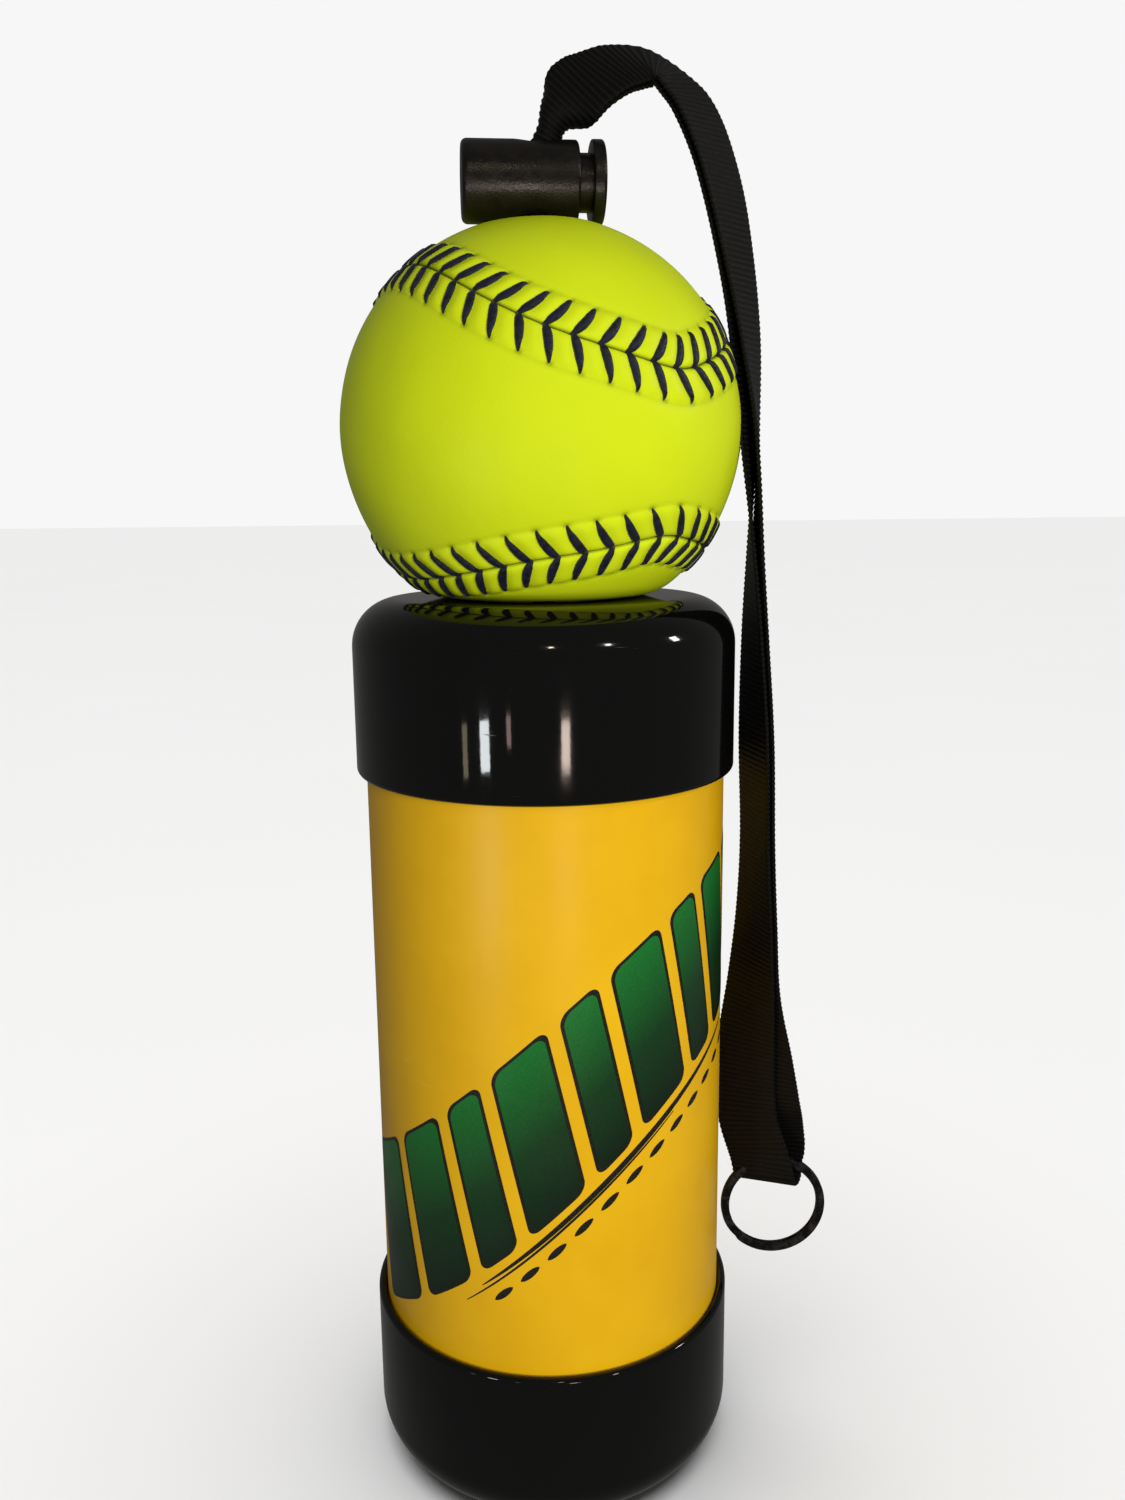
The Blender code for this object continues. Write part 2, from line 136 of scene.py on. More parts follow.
# The middle of the doubled strap from the lock to its fold, then how far it has turned there, in
# degrees, and how far its front and back layers are off that line along their width, in mm
STRAP_ROUTE = [
    (0.0008, 0, 0.3030, 0, 0, 0),
    (0.0009, 0, 0.3055, 0, 0, 0),
    (0.0027, 0, 0.3088, 3, -0.2, -0.2),
    (0.0050, -0.0006, 0.3118, 9, -1.7, -1.7),
    (0.0082, -0.0012, 0.3152, 20, -1.3, -1.3),
    (0.0122, -0.0012, 0.3187, 28, -1.0, -1.0),
    (0.0172, 0.0006, 0.3222, 39, 0.6, 0.6),
    (0.0228, 0.0028, 0.3236, 53, 1.8, 1.8),
    (0.0281, 0.0034, 0.3215, 60, 1.6, 1.6),
    (0.0322, 0.0022, 0.3171, 54, 0.6, 0.6),
    (0.0350, 0.0006, 0.3116, 52, 0, 0),
    (0.0379, -0.0010, 0.3037, 53, 0, 0),
    (0.0402, -0.0023, 0.2950, 54, 0, 0),
    (0.0422, -0.0032, 0.2850, 57, 0, 0),
    (0.0441, -0.0038, 0.2739, 61, 0, 0),
    (0.0455, -0.0040, 0.2630, 65, 0, 0),
    (0.0466, -0.0040, 0.2503, 72, 0, 0),
    (0.0474, -0.0040, 0.2356, 79, 0, 0),
    (0.0479, -0.0040, 0.2179, 88, 0, 0),
    (0.0484, -0.0035, 0.1997, 97, 0, 0),
    (0.0492, -0.0030, 0.1763, 105, 0, 0),
    (0.0500, -0.0025, 0.1520, 105, 0, 0),
    (0.0504, -0.0020, 0.1330, 112, -0.3, -0.3),
    (0.0506, -0.0015, 0.1150, 125, -1.2, -0.6),
    (0.0512, -0.0010, 0.0970, 144, -2.7, 1.3),
    (0.0528, -0.0005, 0.0820, 150, -3.7, 2.0),
    (0.0556, 0, 0.0717, 152, -2.7, -0.2),
]
FOLD_TURN = 153
FOLD_OFFSET = -1.6

# Light
WORLD_FILL = 0.13
BACKDROP = 0.93
AIM_HEIGHT = 0.17


# Helpers for meshes


def add_object(name, data):
    made = bpy.data.objects.new(name, data)
    bpy.context.scene.collection.objects.link(made)
    return made


def add_mesh(name, points, faces, looks, slots=None):
    """A smooth-shaded mesh object. slots gives each face's material, where there are several."""
    data = bpy.data.meshes.new(name)
    data.from_pydata([tuple(p) for p in points], [], faces)
    for look in looks:
        data.materials.append(look)
    if slots is not None:
        data.polygons.foreach_set("material_index", slots)
    data.shade_smooth()
    data.update()
    return add_object(name, data)


def add_numbers(piece, name, values):
    """A number for each point of the piece, for its material to read."""
    attribute = piece.data.attributes.new(name, "FLOAT", "POINT")
    attribute.data.foreach_set("value", np.asarray(values, dtype=np.float32))


def sharpen(piece, angle):
    piece.data.set_sharp_from_angle(angle=math.radians(angle))


def arc(centre_r, centre_z, radius, start, end, steps):
    """Points (r, z) of a round stretch, its angles in degrees from the +r direction."""
    angles = [math.radians(start + (end - start) * k / steps) for k in range(steps + 1)]
    return [(centre_r + radius * math.cos(a), centre_z + radius * math.sin(a)) for a in angles]


def grid_faces(rows, columns, closed_rows=False, closed_columns=False, flip=False):
    """Quads over a grid of points, numbered row by row."""
    faces = []
    for i in range(rows if closed_rows else rows - 1):
        for j in range(columns if closed_columns else columns - 1):
            below, beside = (i + 1) % rows, (j + 1) % columns
            row, next_row = i * columns, below * columns
            quad = (row + j, row + beside, next_row + beside, next_row + j)
            faces.append(quad[::-1] if flip else quad)
    return faces


def rod_faces(rings, sides, first=0):
    """The sides and ends of a rod made of rings of points, the first point being number first."""
    faces = grid_faces(rings, sides, closed_columns=True)
    faces += [tuple(range(sides))[::-1], tuple(range((rings - 1) * sides, rings * sides))]
    return [tuple(first + i for i in face) for face in faces]


def lathe(name, profile, look, steps=160):
    """A closed profile of (r, z), running down its outer side, turned about Z."""
    turns = [math.tau * k / steps for k in range(steps)]
    points = [(r * math.cos(a), r * math.sin(a), z) for r, z in profile for a in turns]
    faces = grid_faces(len(profile), steps, closed_rows=True, closed_columns=True, flip=True)
    piece = add_mesh(name, points, faces, [look])
    weld = piece.modifiers.new("weld", "WELD")
    weld.merge_threshold = 0.000001
    apply_modifiers(piece)
    sharpen(piece, 35)
    return piece


def apply_modifiers(piece):
    bpy.context.view_layer.update()
    seen = piece.evaluated_get(bpy.context.evaluated_depsgraph_get())
    data = bpy.data.meshes.new_from_object(seen)
    old = piece.data
    piece.modifiers.clear()
    piece.data = data
    bpy.data.meshes.remove(old)


def cut(piece, cutters):
    for cutter in cutters:
        modifier = piece.modifiers.new("cut", "BOOLEAN")
        modifier.object = cutter
        modifier.solver = "EXACT"
    apply_modifiers(piece)
    for cutter in cutters:
        bpy.data.objects.remove(cutter, do_unlink=True)


def ease(x, start, end):
    """0 before start, 1 after end, smooth between them."""
    t = min(1.0, max(0.0, (x - start) / (end - start)))
    return t * t * (3 - 2 * t)


def smooth_max(a, b, width):
    """The higher of two heights, rounded where they cross."""
    gap = np.clip((a - b) / width, -1, 1)
    return np.where(np.abs(a - b) >= width, np.maximum(a, b), b + width * (gap + 1) ** 2 / 4)


def tube_rings(path, widths, heights, normals, sides):
    """Rings of points round a path, flattened ovals that lie on a surface with those normals."""
    points = []
    for k, place in enumerate(path):
        along = (path[min(k + 1, len(path) - 1)] - path[max(k - 1, 0)]).normalized()
        across = along.cross(normals[k]).normalized()
        upright = across.cross(along)
        for j in range(sides):
            a = math.tau * j / sides
            wide, tall = math.cos(a) * widths[k], math.sin(a) * heights[k]
            points.append(place + across * wide + upright * tall)
    return points


# Helpers for materials


class Look:
    """A Principled material, with short ways to add the nodes it is made of."""

    def __init__(self, name, colour, roughness, metallic=0.0, **constants):
        self.material = bpy.data.materials.new(name)
        self.material.use_nodes = True
        self.tree = self.material.node_tree
        self.shader = self.tree.nodes["Principled BSDF"]
        plain = {"Base Color": (*colour, 1), "Roughness": roughness, "Metallic": metallic}
        for key, value in {**plain, **constants}.items():
            self.shader.inputs[key.replace("_", " ")].default_value = value
        self.places = self.node("ShaderNodeTexCoord").outputs["Object"]

    def node(self, kind, inputs=None, **settings):
        """A new node with its settings made and its inputs linked or set."""
        made = self.tree.nodes.new(kind)
        for key, value in settings.items():
            setattr(made, key, value)
        for key, value in (inputs or {}).items():
            self.feed(made.inputs[key], value)
        return made

    def feed(self, socket, value):
        if isinstance(value, bpy.types.NodeSocket):
            self.tree.links.new(value, socket)
        else:
            socket.default_value = value

    def stretched(self, x, y, z):
        """The object's coordinates, scaled along each axis."""
        inputs = {"Vector": self.places, "Scale": (x, y, z)}
        return self.node("ShaderNodeMapping", inputs).outputs["Vector"]

    def noise(self, scale, detail=3.0, places=None, roughness=0.5):
        inputs = {"Vector": places or self.places, "Scale": scale, "Detail": detail}
        return self.node("ShaderNodeTexNoise", {**inputs, "Roughness": roughness}).outputs["Fac"]

    def cells(self, scale):
        inputs = {"Vector": self.places, "Scale": scale}
        return self.node("ShaderNodeTexVoronoi", inputs).outputs["Distance"]

    def ramp(self, value, *stops):
        """A colour or a grey for each (position, colour) stop."""
        made = self.node("ShaderNodeValToRGB", {"Fac": value})
        spare = made.color_ramp.elements
        while len(spare) < len(stops):
            spare.new(0.5)
        for element, (position, colour) in zip(spare, stops):
            element.position = position
            grey = (colour, colour, colour) if isinstance(colour, (int, float)) else colour
            element.color = (*grey, 1)
        return made.outputs["Color"]

    def mix(self, share, first, second, blend="MIX"):
        inputs = {"Factor": share, "A": first, "B": second}
        made = self.node("ShaderNodeMix", inputs, data_type="RGBA", blend_type=blend)
        return made.outputs["Result"]

    def maths(self, operation, first, second=0.0):
        return self.node("ShaderNodeMath", {0: first, 1: second}, operation=operation).outputs[0]

    def number(self, name):
        return self.node("ShaderNodeAttribute", attribute_name=name).outputs["Fac"]

    def bump(self, *layers):
        """Bump layers of (height, distance in metres, strength), each over the one before."""
        normal = None
        for height, distance, strength in layers:
            inputs = {"Height": height, "Distance": distance, "Strength": strength}
            if normal:
                inputs["Normal"] = normal
            normal = self.node("ShaderNodeBump", inputs).outputs["Normal"]
        self.feed(self.shader.inputs["Normal"], normal)

    def colour(self, value):
        self.feed(self.shader.inputs["Base Color"], value)

    def roughness(self, value):
        self.feed(self.shader.inputs["Roughness"], value)


def look_cap():
    """Glossy black moulded plastic with faint smudges, dust and hair scratches."""
    look = Look("cap_black", (0.0022, 0.0022, 0.0021), 0.08, IOR=1.4)
    smudge = look.noise(38, 5, roughness=0.6)
    scratch = look.noise(1, 2, look.stretched(90, 90, 1500))
    dust = look.cells(900)
    worn = look.ramp(scratch, (0.735, 0.0), (0.76, 1.0))
    look.roughness(look.mix(worn, look.ramp(smudge, (0.35, 0.035), (0.72, 0.11)), (0.3, 0.3, 0.3, 1)))
    specks = look.ramp(dust, (0.05, 1.0), (0.09, 0.0))
    sparse = look.maths("MULTIPLY", specks, look.ramp(look.noise(140), (0.6, 0.0), (0.66, 0.55)))
    look.colour(look.mix(sparse, (0.0022, 0.0022, 0.0021, 1), (0.04, 0.038, 0.035, 1)))
    look.bump(
        (look.noise(22, 1), 0.0003, 0.5),
        (look.noise(750, 2), 0.000006, 0.5),
        (worn, 0.00001, 0.2),
    )
    return look.material


def look_tube():
    """Satin yellow pipe, slightly mottled, with fine lengthwise draw lines and a few scuffs."""
    look = Look("tube_yellow", (0.78, 0.43, 0.008), 0.4, IOR=1.4)
    mottle = look.noise(26, 4, roughness=0.6)
    drawn = look.noise(1, 3, look.stretched(1500, 1500, 9))
    scuff = look.ramp(look.noise(1, 3, look.stretched(130, 130, 1900)), (0.68, 0.0), (0.74, 1.0))
    patch = look.ramp(look.noise(19, 2), (0.5, 0.0), (0.62, 1.0))
    scuffed = look.maths("MULTIPLY", scuff, patch)
    paint = look.ramp(mottle, (0.3, (0.68, 0.37, 0.004)), (0.7, (0.76, 0.44, 0.007)))
    look.colour(look.mix(look.maths("MULTIPLY", scuffed, 0.35), paint, (0.9, 0.66, 0.2, 1)))
    look.roughness(look.ramp(look.maths("ADD", mottle, scuffed), (0.3, 0.3), (1.1, 0.5)))
    look.bump(
        (look.noise(30, 2), 0.0002, 0.35),
        (drawn, 0.00001, 0.5),
        (look.noise(1500, 2), 0.000012, 0.35),
    )
    return look.material


def look_print_green():
    """The print's green, light at a bar's top and nearly black at its foot, a little worn."""
    look = Look("print_green", (0.01, 0.12, 0.02), 0.36)
    rise = look.number("rise")
    fade = look.ramp(
        rise, (0.0, (0.003, 0.012, 0.004)), (0.45, (0.005, 0.038, 0.009)), (1.0, (0.008, 0.15, 0.022))
    )
    grain = look.ramp(look.noise(2600, 2), (0.35, 0.86), (0.65, 1.08))
    look.colour(look.mix(1.0, fade, grain, "MULTIPLY"))
    look.roughness(look.ramp(look.noise(90, 3), (0.3, 0.3), (0.7, 0.46)))
    look.bump((look.noise(1800, 2), 0.00001, 0.4))
    return look.material


def look_print_black():
    look = Look("print_black", (0.006, 0.007, 0.005), 0.4)
    grain = look.noise(3000, 3)
    look.colour(look.ramp(grain, (0.4, (0.004, 0.005, 0.003)), (0.75, (0.02, 0.02, 0.012))))
    look.bump((grain, 0.00001, 0.4))
    return look.material


def look_leather():
    """Optic yellow leather: fine grain and pores, painted shade darkening the seam's folds, a few specks."""
    look = Look("leather_yellow", (0.59, 0.70, 0.008), 0.46, IOR=1.33)
    tone = look.ramp(
        look.noise(24, 4, roughness=0.6),
        (0.3, (0.565, 0.68, 0.006)),
        (0.7, (0.615, 0.73, 0.009)),
    )
    # Painted shade: the colour darkens where the leather sinks into the seam's groove, stitch holes and
    # crease.
    depth = look.number("fold")
    shaded_leather = look.mix(look.ramp(depth, (0.0, 0.0), (1.0, 1.0)), tone, (0.075, 0.10, 0.004, 1))
    specks = look.ramp(look.cells(130), (0.02, 1.0), (0.034, 0.0))
    few = look.maths("MULTIPLY", specks, look.ramp(look.noise(70, 1), (0.56, 0.0), (0.62, 0.7)))
    look.colour(look.mix(few, shaded_leather, (0.10, 0.13, 0.01, 1)))
    look.roughness(look.ramp(look.noise(60, 4), (0.3, 0.4), (0.75, 0.55)))
    look.bump(
        (look.noise(150, 3), 0.00012, 0.35),
        (look.cells(1300), 0.00003, 0.5),
        (look.noise(2600, 2), 0.000015, 0.5),
    )
    return look.material


def look_thread():
    """Waxed navy thread, twisted, laid in flat stitches."""
    look = Look("thread_navy", (0.005, 0.006, 0.016), 0.5, Sheen_Weight=0.08, Sheen_Roughness=0.4)
    twist = look.maths("SINE", look.maths("MULTIPLY", look.number("twist"), math.tau))
    wax = look.noise(700, 3)
    look.colour(look.ramp(wax, (0.3, (0.003, 0.0035, 0.009)), (0.75, (0.012, 0.014, 0.032))))
    look.roughness(look.ramp(wax, (0.3, 0.42), (0.7, 0.62)))
    look.bump((twist, 0.00005, 0.6), (look.noise(6000, 2), 0.00002, 0.5))
    return look.material


def look_webbing():
    """Black nylon webbing: cross ribs are modelled, and the warp's small humps are bump. Its colour has a
    painted highlight on each rib's crest and painted shade between ribs.
    """
    sheen = {"Sheen_Weight": 0.02, "Sheen_Roughness": 0.3}
    look = Look("webbing_black", (0.006, 0.0058, 0.0055), 0.6, Specular_IOR_Level=0.25, **sheen)
    across = look.maths("SINE", look.maths("MULTIPLY", look.number("across"), 4 * math.pi))
    along = look.maths("COSINE", look.maths("MULTIPLY", look.number("along"), math.tau))
    fibre = look.noise(1, 3, look.stretched(4200, 4200, 1500))
    crest = look.ramp(along, (0.2, 0.0), (0.95, 1.0))
    humps = look.maths("MULTIPLY", across, crest)
    # Painted highlight and painted shade: lighter on each rib's crest, darker in the troughs between ribs.
    tone = look.mix(crest, (0.0009, 0.0008, 0.0007, 1), (0.0068, 0.0061, 0.0054, 1))
    look.colour(look.mix(look.ramp(fibre, (0.3, 0.75), (0.7, 0.0)), tone, (0.0015, 0.0014, 0.0012, 1)))
    look.roughness(look.ramp(fibre, (0.3, 0.48), (0.7, 0.72)))
    look.bump((humps, 0.00007, 0.6), (fibre, 0.00005, 0.6))
    return look.material


def look_lock():
    """Moulded black plastic of the cord lock, with a fine grain, and warm lighter patches painted into its
    colour as highlights.
    """
    look = Look("lock_plastic", (0.004, 0.0035, 0.0028), 0.34, IOR=1.42)
    grain = look.cells(1900)
    rub = look.noise(240, 4, roughness=0.65)
    # Painted highlight: the lighter warm patches stand for the glints that the plastic gives under light.
    look.colour(look.ramp(rub, (0.35, (0.0022, 0.0019, 0.0014)), (0.75, (0.007, 0.005, 0.0036))))
    look.roughness(look.ramp(rub, (0.3, 0.25), (0.75, 0.42)))
    look.bump((grain, 0.00004, 0.7), (look.noise(120, 2), 0.0001, 0.3))
    return look.material


def look_ring():
    """Black-coated spring steel, its coating rubbed thin in random patches."""
    look = Look("ring_black", (0.02, 0.02, 0.02), 0.25, 0.75)
    rub = look.noise(420, 4, roughness=0.7)
    look.colour(look.ramp(rub, (0.45, (0.012, 0.012, 0.012)), (0.8, (0.10, 0.095, 0.09))))
    look.roughness(look.ramp(rub, (0.3, 0.2), (0.7, 0.38)))
    look.bump((look.noise(1, 2, look.stretched(500, 4000, 500)), 0.00001, 0.5))
    return look.material


def look_inner(name, dark, light, roughness, scale, depth, metallic=0.0):
    """A hidden piece's finish: two tones and a grain of its own size."""
    look = Look(name, dark, roughness, metallic)
    grain = look.noise(scale, 4, roughness=0.65)
    look.colour(look.ramp(grain, (0.3, dark), (0.7, light)))
    look.roughness(look.ramp(grain, (0.3, roughness * 0.8), (0.7, min(1, roughness * 1.15))))
    look.bump((grain, depth, 0.6), (look.cells(scale * 1.7), depth / 2, 0.4))
    return look.material


# Camera


def make_camera():
    """A pinhole camera a little above the lid, looking slightly down."""
    yaw, pitch, roll = math.radians(0.79), math.radians(11.28), math.radians(-0.61)
    data = bpy.data.cameras.new("camera")
    data.lens = 30.31
    data.sensor_width = 36
    data.clip_start = 0.01
    camera = add_object("camera", data)
    camera.location = (0, -0.2917, 0.2321)
    turn = Matrix.Rotation(-yaw, 3, "Z") @ Matrix.Rotation(math.pi / 2 - pitch, 3, "X")
    camera.rotation_euler = (turn @ Matrix.Rotation(roll, 3, "Z")).to_euler()
    bpy.context.scene.camera = camera


# The strap


def smooth_route(rows, spacing):
    """Rows about a spacing apart on a smooth curve through the given ones, place first."""
    rows = [np.array(row, float) for row in rows]
    ends = [rows[0] * 2 - rows[1]] + rows + [rows[-1] * 2 - rows[-2]]
    route = []
    for a, b, c, d in zip(ends, ends[1:], ends[2:], ends[3:]):
        count = max(1, round(float(np.linalg.norm((c - b)[:3])) / spacing))
        for k in range(count):
            t = k / count
            route.append(
                (2 * b + (c - a) * t + (2 * a - 5 * b + 4 * c - d) * t**2
                 + (3 * b - a - 3 * c + d) * t**3) / 2
            )
    route.append(rows[-1])
    return route


class StrapPlace(NamedTuple):
    """A place on the strap's middle line, and how far along the line it is from either end."""

    place: Vector
    along: Vector
    width: Vector
    normal: Vector
    offsets: tuple
    run: float
    left: float


class Section(NamedTuple):
    """A section of the band: where it is, how it faces and how it is curled."""

    place: Vector
    width: Vector
    normal: Vector
    facing: int
    gap: float
    bend: float = FLAT_BEND
    half: float = STRAP_WIDTH / 2


def strap_places():
    last = (*FOLD_CENTRE, FOLD_TURN, FOLD_OFFSET, FOLD_OFFSET)
    route = smooth_route([*STRAP_ROUTE, last], RIB_PITCH / 4)
    runs = [0.0]
    for a, b in zip(route, route[1:]):
        runs.append(runs[-1] + float(np.linalg.norm((b - a)[:3])))
    places = []
    for k, row in enumerate(route):
        ahead, behind = route[min(k + 2, len(route) - 1)], route[max(k - 2, 0)]
        along = Vector((ahead - behind)[:3]).normalized()
        inward = Vector((along.z, 0, -along.x)).normalized()
        turn = math.radians(row[3])
        width = inward * math.cos(turn) - Vector((0, 1, 0)) * math.sin(turn)
        width = (width - along * width.dot(along)).normalized()
        offsets = (row[4] * MM, row[5] * MM)
        normal = along.cross(width)
        spot = Vector(row[:3])
        places.append(StrapPlace(spot, along, width, normal, offsets, runs[k], runs[-1] - runs[k]))
    return places


def strap_outline():
    """The webbing's section: (share of the half width, share of the half thickness)."""
    half_round = STRAP_THICKNESS / STRAP_WIDTH
    across = [-1 + 2 * k / 14 for k in range(15)]
    top = [(y * (1 - half_round), 1.0) for y in across]
    bottom = [(-y, -q) for y, q in top]
    right = [(1 - half_round * (1 - math.sin(a)), math.cos(a)) for a in (0.6, 1.2, 1.9, 2.5)]
    left = [(-y, -q) for y, q in right]
    return top + right + bottom + left


def layer_sections(places, facing, layer):
    """The sections of one layer: rolled up in the lock, flat and close, then open at the fold."""
    sections = []
    for at in places[::facing]:
        squeeze = 1 - ease(at.run, ROLL_START, ROLL_END)
        loose = math.exp(-(((at.place.z - BALL_CENTRE.z) / LOOSE_LENGTH) ** 2))
        opened = 1 - ease(at.left, 0.0, OPEN_LENGTH)
        gap = LAYER_GAP + (OPEN_GAP - LAYER_GAP) * opened + LOOSE_GAP * loose
        sway = Matrix.Rotation(facing * LOOSE_TURN * loose, 3, at.along)
        width, normal = sway @ at.width, sway @ at.normal
        place = at.place + width * at.offsets[layer] - normal * (ROLL_RADIUS * squeeze)
        bend = max(FLAT_BEND, squeeze / ROLL_RADIUS)
        half = STRAP_WIDTH / 2 - ROLL_TUCK * squeeze
        sections.append(Section(place, width, normal, facing, gap, bend, half))
    return sections


def fold_sections(last):
    """The sections of the fold, half a turn round the strap's last place."""
    spot = last.place + last.width * last.offsets[0]
    count = round(math.pi * OPEN_GAP / (RIB_PITCH / 4))
    sections = []
    for k in range(1, count):
        a = math.pi * k / count
        out = last.normal * math.cos(a) + last.along * math.sin(a)
        sections.append(Section(spot, last.width, out, 1, OPEN_GAP))
    return sections


def strap_middle(places):
    """The strap's middle line from the lock to the outside of the fold."""
    line = [at.place + at.width * (sum(at.offsets) / 2) for at in places[::12]]
    last = places[-1]
    line.append(last.place + last.width * last.offsets[0] + last.along * OPEN_GAP)
    return line


def build_strap():
    """One closed band of webbing: down the inner layer, round the fold and up the outer one."""
    places = strap_places()
    sections = layer_sections(places, 1, 0) + fold_sections(places[-1])
    sections += layer_sections(places, -1, 1)
    outline = strap_outline()
    points, across, lengthways = [], [], []
    run, before = 0.0, None
    for section in sections:
        radius = 1 / section.bend
        layer = radius - section.facing * section.gap
        middle = section.place + section.normal * radius
        spot = middle - section.normal * layer
        run += (spot - before).length if before else 0.0
        before = spot
        rib = RIB_DEPTH * math.cos(math.tau * run / RIB_PITCH)
        for y, q in outline:
            edge = ease(abs(y), 0.9, 1.0)
            angle = y * (section.half + rib * edge * 0.7) / radius
            height = q * (STRAP_THICKNESS / 2 - RIB_DEPTH + rib * (1 - edge))
            out = section.width * math.sin(angle) - section.normal * math.cos(angle)
            points.append(middle + out * (layer - section.facing * height))
            across.append(y * STRAP_WIDTH / 2 / RIB_PITCH)
            lengthways.append(run / RIB_PITCH)
    columns = len(outline)
    faces = grid_faces(len(sections), columns, closed_columns=True)
    faces.append(tuple(range(columns)))
    faces.append(tuple(range(len(points) - 1, len(points) - 1 - columns, -1)))
    strap = add_mesh("strap_webbing", points, faces, [LOOKS["webbing"]])
    sharpen(strap, 60)
    add_numbers(strap, "across", across)
    add_numbers(strap, "along", lengthways)
    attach(strap, "lid")
    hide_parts("strap", "strap_fold")
    line = strap_middle(places)
    length = sum((b - a).length for a, b in zip(line, line[1:]))
    return strap, line, length


def build_ring():
    """A split ring: two turns of flat wire that step sideways past each other."""
    centre = (RING_LOW + RING_HIGH) / 2
    wire_half = (RING_HIGH.y - RING_LOW.y) / 2
    middle = (RING_HIGH.x - RING_LOW.x) / 2 - wire_half
    offset = wire_half * 0.5
    steps, sides = 288, 16
    start = math.radians(215)
    step_length = 0.5
    points = []
    for k in range(steps + 1):
        turn = 4 * math.pi * k / steps
        angle = start + turn
        jog = ease(turn, math.tau - step_length, math.tau + step_length)
        depth = offset * (2 * jog - 1)
        spread = 0.00012 * math.sin(turn / 4) ** 2
        end = min(1.0, 0.3 + 40 * min(k, steps - k) / steps)
        outward = Vector((math.cos(angle), 0, math.sin(angle)))
        for j in range(sides):
            a = math.tau * j / sides
            square = max(abs(math.cos(a)), abs(math.sin(a))) ** -0.55
            radial = math.cos(a) * square * wire_half * 0.93 * end
            axial = math.sin(a) * square * wire_half * 0.47 * end
            spot = centre + outward * (middle + radial)
            points.append(spot + Vector((0, depth + spread + axial, 0)))
    ring = add_mesh("split_ring_coil", points, rod_faces(steps + 1, sides), [LOOKS["ring"]])
    sharpen(ring, 50)
    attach(ring, "ring")
    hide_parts("split_ring")
    return ring


# The canister


def build_caps():
    """The two pipe caps: the top one has the strap's hole, and the foot a moulding gate."""
    inner = CAP_RADIUS - CAP_SKIRT
    flat = CAP_RADIUS - CAP_FILLET
    seat = CAP_HEIGHT - CAP_FILLET
    inner_fillet = CAP_FILLET - CAP_PLATE
    lead_in = 0.0008
    outside = arc(flat, seat, CAP_FILLET, 90, 0, 20) + [(CAP_RADIUS, CAP_LIP)]
    rim = arc(CAP_RADIUS - CAP_LIP, CAP_LIP, CAP_LIP, -9, -90, 9) + [(inner + lead_in, 0)]
    inside = [(inner, lead_in), (inner, seat), (flat + inner_fillet, seat)]
    inside += arc(flat, seat, inner_fillet, 15, 90, 8)
    under = CAP_HEIGHT - CAP_PLATE
    hole_round = arc(CAP_HOLE + 0.0006, CAP_HEIGHT - 0.0006, 0.0006, 180, 90, 4)
    gate = [(0, CAP_HEIGHT - 0.0005), (0.0035, CAP_HEIGHT - 0.0005), (0.0042, CAP_HEIGHT)]

    top = lathe("top_cap_shell", hole_round + outside + rim + inside + [(CAP_HOLE, under)], LOOKS["cap"])
    top.location.z = CANISTER_TOP - CAP_HEIGHT
    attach(top, "lid")
    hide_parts("top_cap")

    bottom = lathe("bottom_cap_shell", gate + outside + rim + inside + [(0, under)], LOOKS["cap"])
    bottom.rotation_euler.x = math.pi
    bottom.location.z = CAP_HEIGHT
    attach(bottom, "canister")
    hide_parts("bottom_cap")


def build_tube():
    """The pipe, its four edges slightly rounded."""
    edge = 0.0004
    outer, inner = TUBE_RADIUS - edge, TUBE_RADIUS - TUBE_WALL + edge
    low, high = TUBE_LOW + edge, TUBE_HIGH - edge
    profile = []
    for r, z, start in ((outer, high, 90), (outer, low, 0), (inner, low, -90), (inner, high, 180)):
        profile += arc(r, z, edge, start, start - 90, 3)
    tube = lathe("tube_shell", profile, LOOKS["tube"])
    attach(tube, "canister")
    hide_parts("canister_tube")


def print_foot(s):
    """The height of the print's rising lower edge, at a distance s round the tube."""
    return 0.0775 + 0.046 * math.tanh(s / 0.050)


def on_tube(s, z, proud):
    """The point at a distance s round the tube from its front, towards +X, at a height z."""
    angle = s / TUBE_RADIUS
    radius = TUBE_RADIUS + proud
    return (radius * math.sin(angle), -radius * math.cos(angle), z)


def print_bar(left, width, inset, proud, rows=36, columns=12):
    """Points and rise of one leaning bar with rounded corners, drawn in by an inset all round."""
    tall, lean, corner = 0.0375, -0.0085, 0.0022
    points, rises = [], []
    reach = tall - 2 * inset
    for i in range(rows):
        rise = (1 - math.cos(math.pi * i / (rows - 1))) / 2
        from_end = min(rise, 1 - rise) * reach
        short = max(0.0, corner - from_end)
        bite = corner - math.sqrt(corner**2 - short**2)
        start, end = left + inset + bite, left + width - inset - bite
        for j in range(columns):
            s = start + (end - start) * j / (columns - 1)
            up = inset + rise * reach
            points.append(on_tube(s + lean * up / tall, print_foot(s) + up, proud))
            rises.append(rise)
    return points, rises, grid_faces(rows, columns)


def print_line(start, end, drop, thick, proud, steps=90):
    """A brush line under the bars, thin at both ends."""
    points = []
    for k in range(steps + 1):
        share = k / steps
        s = start + (end - start) * share
        half = thick / 2 * math.sin(math.pi * share) ** 0.6 + 0.00006
        z = print_foot(s) - drop
        points += [on_tube(s + half * 0.6, z - half, proud), on_tube(s - half * 0.6, z + half, proud)]
    return points, [0.0] * len(points), grid_faces(steps + 1, 2, flip=True)


